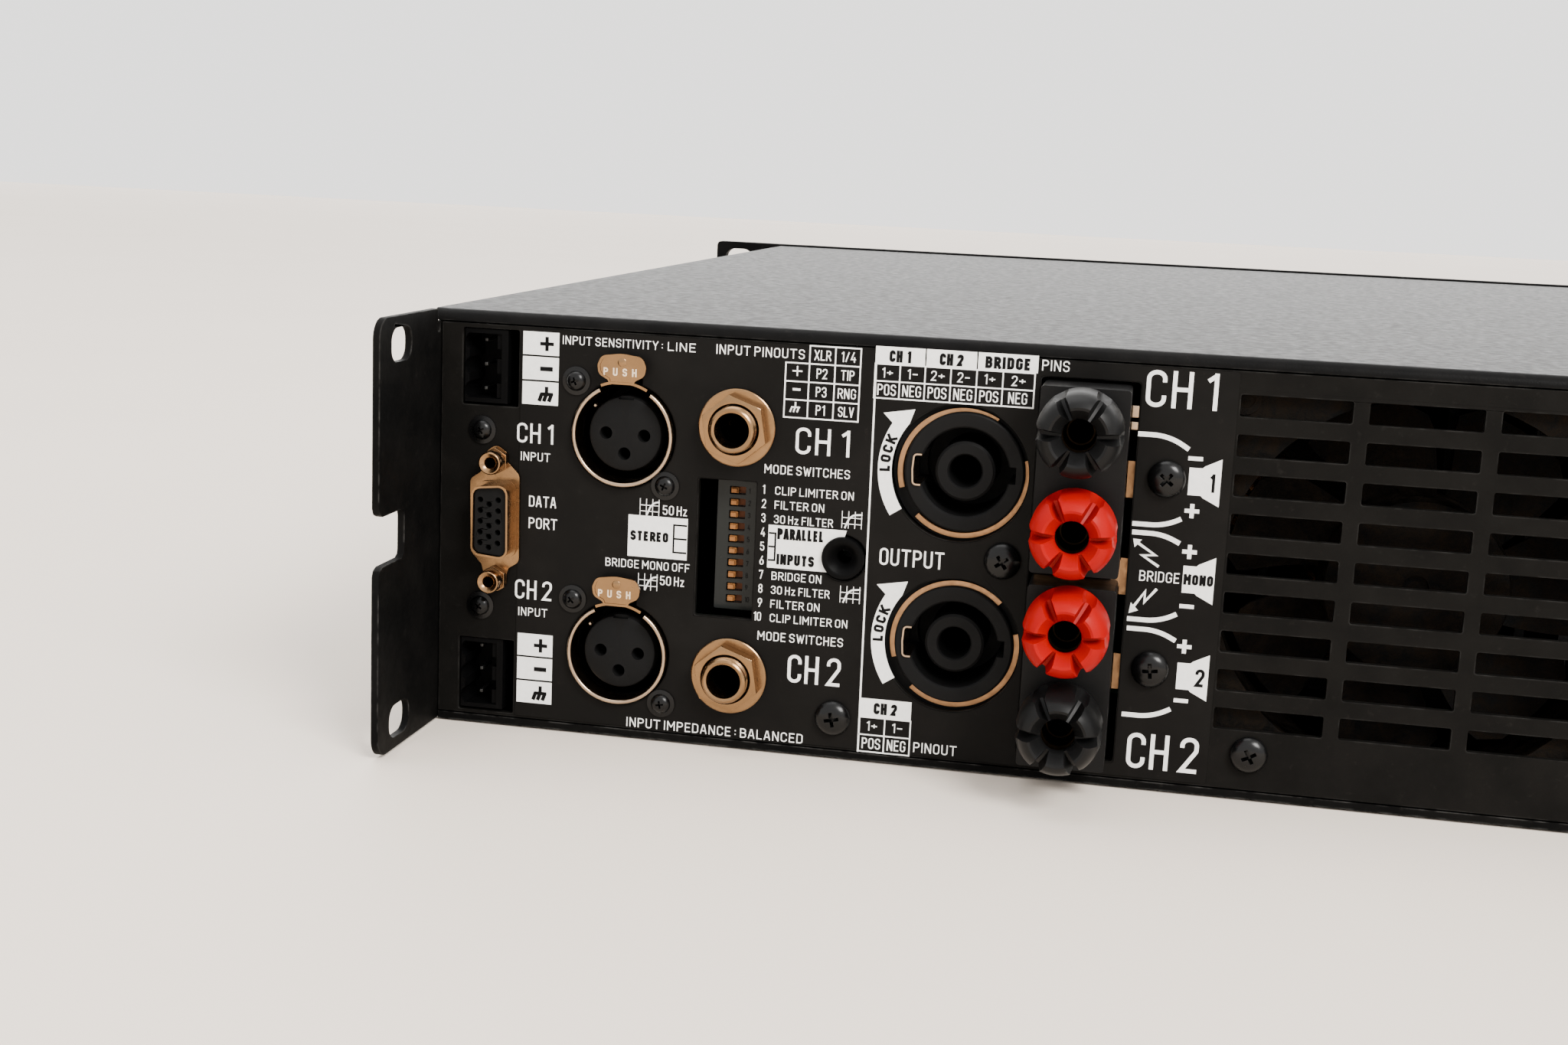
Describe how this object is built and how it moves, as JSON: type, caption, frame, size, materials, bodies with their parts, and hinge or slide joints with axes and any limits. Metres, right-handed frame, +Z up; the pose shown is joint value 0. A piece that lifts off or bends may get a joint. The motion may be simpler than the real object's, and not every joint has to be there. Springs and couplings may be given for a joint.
{
  "type": "power amplifier",
  "caption": "Rack-mount stereo power amplifier with rear-panel inputs, speaker sockets, binding posts, mode switches, a vent grille with a fan, and front level controls.",
  "frame": {"origin": "under the middle of the whole object, on the underside of the chassis", "axes": "+Z up; the front panel faces -Y, the rear panel with its connectors faces +Y; +X is to the right when looking at the front panel"},
  "size_m": [0.4826, 0.412, 0.0881],
  "materials": {
    "black_steel": "satin black fine-texture powder coat",
    "label": "matte black printed film",
    "black_plastic": "satin moulded",
    "nickel": "bright nickel plate",
    "red_plastic": "glossy moulded",
    "switch_grey": "satin moulded",
    "orange_plastic": "satin moulded",
    "brass": "turned",
    "aluminium": "extruded",
    "circuit_board": "solder mask",
    "winding": "varnished wire and tape"
  },
  "bodies": {
    "chassis": {"bottom_pan": "black_steel", "side_left": "black_steel", "side_right": "black_steel", "rear_panel": "black_steel", "rear_label": "label", "top_cover": "black_steel", "front_panel": "black_steel", "terminal_header_1": "black_plastic", "terminal_header_2": "black_plastic", "data_port_shell": "nickel", "data_port_insert": "black_plastic", "jackscrew_1": "nickel", "jackscrew_2": "nickel", "xlr_shell_1": "nickel", "xlr_insert_1": "black_plastic", "xlr_shell_2": "nickel", "xlr_insert_2": "black_plastic", "jack_body_1": "nickel", "jack_nut_1": "nickel", "jack_body_2": "nickel", "jack_nut_2": "nickel", "mode_switch_body": "switch_grey", "threaded_post": "black_plastic", "speaker_socket_1": "black_plastic", "speaker_socket_2": "black_plastic", "binding_base_1": "black_plastic", "binding_base_2": "black_plastic", "binding_stud_1": "brass", "binding_stud_2": "brass", "binding_stud_3": "brass", "binding_stud_4": "brass", "fan_frame": "black_plastic", "mains_inlet": "black_plastic", "main_board": "circuit_board", "heatsink": "aluminium", "ring_transformer": "winding"},
    "fan": {"fan_rotor": "black_plastic"},
    "rocker": {"power_rocker": "black_plastic"},
    "knob_1": {"level_knob_1": "black_plastic"},
    "knob_2": {"level_knob_2": "black_plastic"},
    "latch_1": {"xlr_latch_1": "nickel"},
    "latch_2": {"xlr_latch_2": "nickel"},
    "slider_01": {"mode_slider_01": "orange_plastic"},
    "slider_02": {"mode_slider_02": "orange_plastic"},
    "slider_03": {"mode_slider_03": "orange_plastic"},
    "slider_04": {"mode_slider_04": "orange_plastic"},
    "slider_05": {"mode_slider_05": "orange_plastic"},
    "slider_06": {"mode_slider_06": "orange_plastic"},
    "slider_07": {"mode_slider_07": "orange_plastic"},
    "slider_08": {"mode_slider_08": "orange_plastic"},
    "slider_09": {"mode_slider_09": "orange_plastic"},
    "slider_10": {"mode_slider_10": "orange_plastic"},
    "bush_1": {"binding_bush_1": "brass"},
    "cap_1": {"binding_cap_1": "black_plastic"},
    "bush_2": {"binding_bush_2": "brass"},
    "cap_2": {"binding_cap_2": "red_plastic"},
    "bush_3": {"binding_bush_3": "brass"},
    "cap_3": {"binding_cap_3": "red_plastic"},
    "bush_4": {"binding_bush_4": "brass"},
    "cap_4": {"binding_cap_4": "black_plastic"}
  },
  "joints": [
    {"name": "fan_spin", "type": "hinge", "parent": "chassis", "child": "fan", "pos_m": [0.0159, 0.1714, 0.0437], "axis": [0, 1, 0], "continuous": true},
    {"name": "power_rock", "type": "hinge", "parent": "chassis", "child": "rocker", "pos_m": [0.178, -0.19, 0.044], "axis": [1, 0, 0], "range_deg": [-13, 0]},
    {"name": "level_turn_1", "type": "hinge", "parent": "chassis", "child": "knob_1", "pos_m": [-0.118, -0.194, 0.044], "axis": [0, 1, 0], "range_deg": [-150, 150]},
    {"name": "level_turn_2", "type": "hinge", "parent": "chassis", "child": "knob_2", "pos_m": [-0.158, -0.194, 0.044], "axis": [0, 1, 0], "range_deg": [-150, 150]},
    {"name": "latch_press_1", "type": "hinge", "parent": "chassis", "child": "latch_1", "pos_m": [0.1747, 0.1734, 0.0761], "axis": [1, 0, 0], "range_deg": [0, 9], "stiffness_Nm_per_rad": 0.02},
    {"name": "latch_press_2", "type": "hinge", "parent": "chassis", "child": "latch_2", "pos_m": [0.1746, 0.1734, 0.0301], "axis": [1, 0, 0], "range_deg": [0, 9], "stiffness_Nm_per_rad": 0.02},
    {"name": "mode_slide_01", "type": "slide", "parent": "chassis", "child": "slider_01", "axis": [-1, 0, 0], "range_m": [0, 0.0014]},
    {"name": "mode_slide_02", "type": "slide", "parent": "chassis", "child": "slider_02", "axis": [-1, 0, 0], "range_m": [0, 0.0014]},
    {"name": "mode_slide_03", "type": "slide", "parent": "chassis", "child": "slider_03", "axis": [-1, 0, 0], "range_m": [0, 0.0014]},
    {"name": "mode_slide_04", "type": "slide", "parent": "chassis", "child": "slider_04", "axis": [-1, 0, 0], "range_m": [0, 0.0014]},
    {"name": "mode_slide_05", "type": "slide", "parent": "chassis", "child": "slider_05", "axis": [-1, 0, 0], "range_m": [0, 0.0014]},
    {"name": "mode_slide_06", "type": "slide", "parent": "chassis", "child": "slider_06", "axis": [-1, 0, 0], "range_m": [0, 0.0014]},
    {"name": "mode_slide_07", "type": "slide", "parent": "chassis", "child": "slider_07", "axis": [-1, 0, 0], "range_m": [0, 0.0014]},
    {"name": "mode_slide_08", "type": "slide", "parent": "chassis", "child": "slider_08", "axis": [-1, 0, 0], "range_m": [0, 0.0014]},
    {"name": "mode_slide_09", "type": "slide", "parent": "chassis", "child": "slider_09", "axis": [-1, 0, 0], "range_m": [0, 0.0014]},
    {"name": "mode_slide_10", "type": "slide", "parent": "chassis", "child": "slider_10", "axis": [-1, 0, 0], "range_m": [0, 0.0014]},
    {"name": "cap_travel_1", "type": "slide", "parent": "chassis", "child": "bush_1", "axis": [0, 1, 0], "range_m": [0, 0.004]},
    {"name": "cap_turn_1", "type": "hinge", "parent": "bush_1", "child": "cap_1", "pos_m": [0.0817, 0.174, 0.0731], "axis": [0, 1, 0], "range_deg": [0, 1440]},
    {"name": "cap_travel_2", "type": "slide", "parent": "chassis", "child": "bush_2", "axis": [0, 1, 0], "range_m": [0, 0.004]},
    {"name": "cap_turn_2", "type": "hinge", "parent": "bush_2", "child": "cap_2", "pos_m": [0.0817, 0.174, 0.054], "axis": [0, 1, 0], "range_deg": [0, 1440]},
    {"name": "cap_travel_3", "type": "slide", "parent": "chassis", "child": "bush_3", "axis": [0, 1, 0], "range_m": [0, 0.004]},
    {"name": "cap_turn_3", "type": "hinge", "parent": "bush_3", "child": "cap_3", "pos_m": [0.0817, 0.174, 0.035], "axis": [0, 1, 0], "range_deg": [0, 1440]},
    {"name": "cap_travel_4", "type": "slide", "parent": "chassis", "child": "bush_4", "axis": [0, 1, 0], "range_m": [0, 0.004]},
    {"name": "cap_turn_4", "type": "hinge", "parent": "bush_4", "child": "cap_4", "pos_m": [0.0817, 0.174, 0.0159], "axis": [0, 1, 0], "range_deg": [0, 1440]}
  ],
  "couplings": [
    {"joint": "cap_turn_1", "follows": "cap_travel_1", "rad_per_m": 6283},
    {"joint": "cap_turn_2", "follows": "cap_travel_2", "rad_per_m": 6283},
    {"joint": "cap_turn_3", "follows": "cap_travel_3", "rad_per_m": 6283},
    {"joint": "cap_turn_4", "follows": "cap_travel_4", "rad_per_m": 6283}
  ]
}
